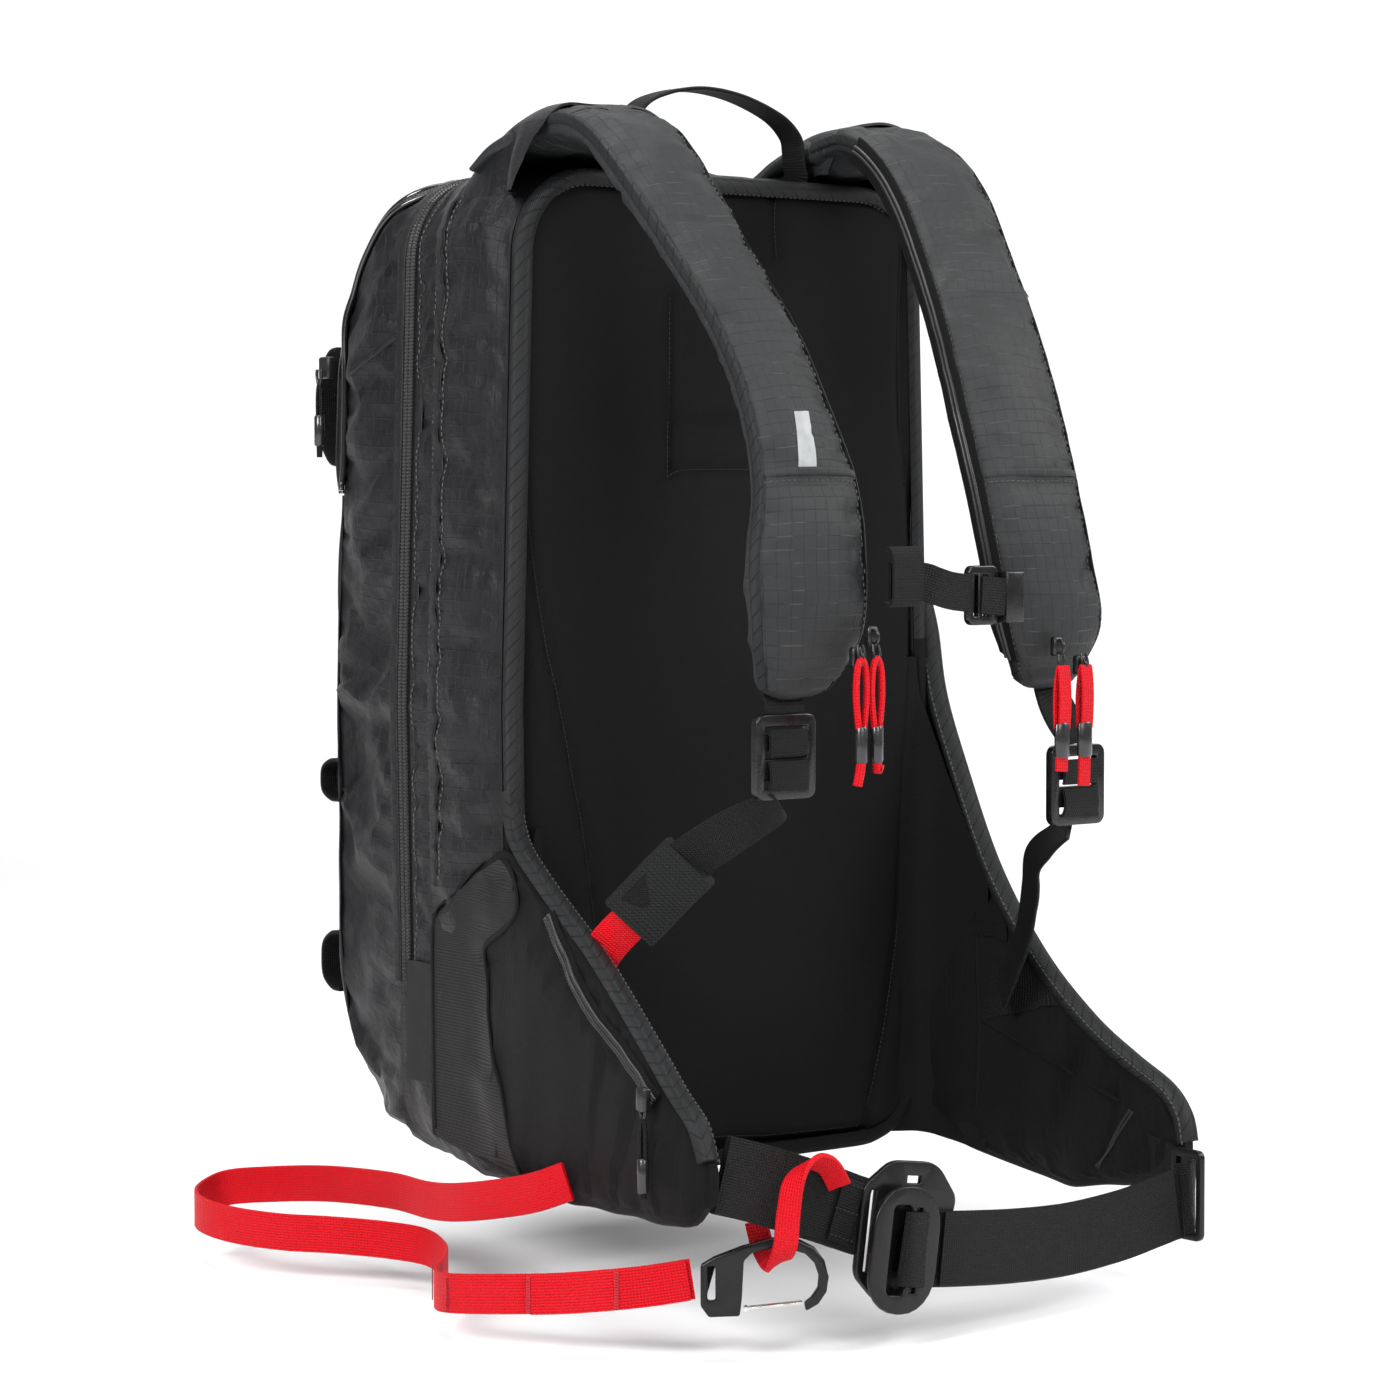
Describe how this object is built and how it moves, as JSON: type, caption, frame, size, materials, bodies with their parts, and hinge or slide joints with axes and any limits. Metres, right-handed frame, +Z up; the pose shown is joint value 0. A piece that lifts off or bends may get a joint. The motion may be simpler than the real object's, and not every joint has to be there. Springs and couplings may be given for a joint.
{
  "type": "avalanche airbag backpack",
  "caption": "Fan-inflated avalanche airbag ski pack with zip-on booster, padded straps, buckled hip belt, red crotch strap and clip.",
  "frame": {"origin": "centre of the flat back panel's outer face, the face that lies on the wearer's back", "axes": "+Z up the back, -Y towards the wearer, +X to the right of someone who faces the straps"},
  "size_m": [0.3941, 0.4265, 0.6234],
  "materials": {
    "shell_fabric": "charcoal ripstop nylon with a light checked thread",
    "strap_fabric": "mid-grey ripstop nylon",
    "stretch_fabric": "smooth black stretch fabric over foam",
    "webbing": "woven black nylon webbing",
    "red_webbing": "woven red nylon webbing",
    "zip_tape": "black coil zip tape",
    "mesh": "dark open mesh",
    "hardware_plastic": "satin black acetal",
    "gloss_plastic": "smooth dark moulding",
    "black_metal": "black anodised aluminium",
    "bare_metal": "bright steel wire",
    "frame_plastic": "translucent white sheet",
    "airbag_fabric": "thin coated orange nylon",
    "valve_rubber": "silicone flap",
    "lens": "clear green indicator lens"
  },
  "bodies": {
    "pack": {"base_shell": "shell_fabric", "back_panel": "stretch_fabric", "edge_piping": "strap_fabric", "frame_sheet": "frame_plastic", "frame_stay": "bare_metal", "side_zip": "zip_tape", "airbag": "airbag_fabric", "outlet_duct": "gloss_plastic", "fan_housing": "gloss_plastic", "fan_motor": "bare_metal", "inlet_duct": "gloss_plastic", "intake_mesh": "mesh", "battery_pack": "hardware_plastic", "controller_box": "gloss_plastic", "status_lens": "lens", "trigger_cable": "hardware_plastic", "hip_wing_left": "stretch_fabric", "hip_wing_right": "stretch_fabric", "lower_webbing_left": "webbing", "elastic_sleeve": "strap_fabric", "red_anchor_loop": "red_webbing", "lower_webbing_right": "webbing", "leg_loop": "red_webbing"},
    "booster": {"booster_shell": "shell_fabric", "booster_zip": "zip_tape", "tool_loops": "webbing"},
    "booster_slider": {"booster_slider": "hardware_plastic"},
    "booster_puller": {"booster_puller": "hardware_plastic"},
    "impeller": {"impeller": "gloss_plastic"},
    "valve_flap": {"valve_flap": "valve_rubber"},
    "power_button": {"power_button": "gloss_plastic"},
    "harness": {"strap_left": "strap_fabric", "strap_right": "strap_fabric", "strap_zips": "zip_tape", "strap_tails": "webbing", "ladder_lock_left": "hardware_plastic", "ladder_lock_right": "hardware_plastic"},
    "strap_sliders_left": {"strap_sliders_left": "hardware_plastic"},
    "strap_sliders_right": {"strap_sliders_right": "hardware_plastic"},
    "red_pulls_left": {"red_pulls_left": "red_webbing"},
    "red_pulls_right": {"red_pulls_right": "red_webbing"},
    "trigger_handle": {"trigger_handle": "hardware_plastic"},
    "sternum": {"sternum_webbing": "webbing", "sternum_ladder": "hardware_plastic", "sternum_rail_clip": "hardware_plastic", "sternum_keeper": "webbing"},
    "hip_left": {"hip_fin_left": "stretch_fabric", "belt_webbing_left": "webbing", "buckle_hook_plate": "black_metal", "red_belt_loop": "red_webbing", "carabiner": "black_metal", "hip_pocket_zip": "zip_tape"},
    "wire_gate": {"wire_gate": "bare_metal"},
    "hip_pocket_slider": {"hip_pocket_slider": "hardware_plastic"},
    "hip_right": {"hip_fin_right": "stretch_fabric", "belt_webbing_right": "webbing", "triglide": "black_metal", "buckle_ring_plate": "black_metal"},
    "haul_loop": {"haul_loop": "webbing"}
  },
  "joints": [
    {"name": "booster_lift_off", "type": "slide", "parent": "pack", "child": "booster", "axis": [0, 1, 0], "range_m": [0, 0.12]},
    {"name": "booster_zip_run", "type": "slide", "parent": "booster", "child": "booster_slider", "axis": [0, 0, 1], "range_m": [-0.02, 0.03]},
    {"name": "booster_puller_swing", "type": "hinge", "parent": "booster_slider", "child": "booster_puller", "pos_m": [-0.1465, 0.172, 0.178], "axis": [1, 0, 0], "range_deg": [-35, 35]},
    {"name": "impeller_spin", "type": "hinge", "parent": "pack", "child": "impeller", "pos_m": [-0.06, 0.058, -0.06], "axis": [0, 0, 1], "continuous": true},
    {"name": "valve_flap_open", "type": "hinge", "parent": "pack", "child": "valve_flap", "pos_m": [-0.081, 0.058, 0.0613], "axis": [0, -1, 0], "range_deg": [0, 60], "stiffness_Nm_per_rad": 0.01, "springref_deg": -20.05},
    {"name": "power_button_press", "type": "slide", "parent": "pack", "child": "power_button", "axis": [0, -1, 0], "range_m": [0, 0.0015], "stiffness_N_per_m": 400},
    {"name": "harness_swing", "type": "hinge", "parent": "pack", "child": "harness", "pos_m": [0, 0.004, 0.295], "axis": [1, 0, 0], "range_deg": [-12, 12], "deforming": ["lower_webbing_left", "lower_webbing_right", "elastic_sleeve", "red_anchor_loop"]},
    {"name": "strap_zip_run_left", "type": "slide", "parent": "harness", "child": "strap_sliders_left", "axis": [0, 0, 1], "range_m": [0, 0.02]},
    {"name": "strap_zip_run_right", "type": "slide", "parent": "harness", "child": "strap_sliders_right", "axis": [0, 0, 1], "range_m": [0, 0.02]},
    {"name": "red_pulls_swing_left", "type": "hinge", "parent": "strap_sliders_left", "child": "red_pulls_left", "pos_m": [-0.065, -0.1924, 0.034], "axis": [1, 0, 0], "range_deg": [-25, 4]},
    {"name": "red_pulls_swing_right", "type": "hinge", "parent": "strap_sliders_right", "child": "red_pulls_right", "pos_m": [0.074, -0.1924, 0.026], "axis": [1, 0, 0], "range_deg": [-25, 4]},
    {"name": "trigger_pull", "type": "slide", "parent": "harness", "child": "trigger_handle", "axis": [0, 0, -1], "range_m": [0, 0.022], "stiffness_N_per_m": 60},
    {"name": "sternum_height", "type": "slide", "parent": "harness", "child": "sternum", "axis": [0, 0, 1], "range_m": [-0.02, 0.02]},
    {"name": "hip_right_open", "type": "hinge", "parent": "pack", "child": "hip_right", "pos_m": [0.155, -0.082, -0.18], "axis": [0, 0, 1], "range_deg": [0, 20]},
    {"name": "hip_left_open", "type": "hinge", "parent": "pack", "child": "hip_left", "pos_m": [-0.155, -0.082, -0.18], "axis": [0, 0, 1], "range_deg": [-20, 0], "deforming": ["leg_loop"]},
    {"name": "carabiner_gate_open", "type": "hinge", "parent": "hip_left", "child": "wire_gate", "pos_m": [-0.13799, -0.18634, -0.2824], "axis": [-0.6293, -0.7771, 0], "range_deg": [0, 22], "stiffness_Nm_per_rad": 0.02, "springref_deg": -11.46},
    {"name": "hip_pocket_zip_run", "type": "slide", "parent": "hip_left", "child": "hip_pocket_slider", "axis": [0.0808, 0.7809, 0.6194], "range_m": [0, 0.035]},
    {"name": "haul_loop_fold", "type": "hinge", "parent": "pack", "child": "haul_loop", "pos_m": [0, 0.012, 0.296], "axis": [-1, 0, 0], "range_deg": [0, 60]}
  ],
  "couplings": [
    {"joint": "hip_left_open", "follows": "hip_right_open", "ratio": -1}
  ]
}
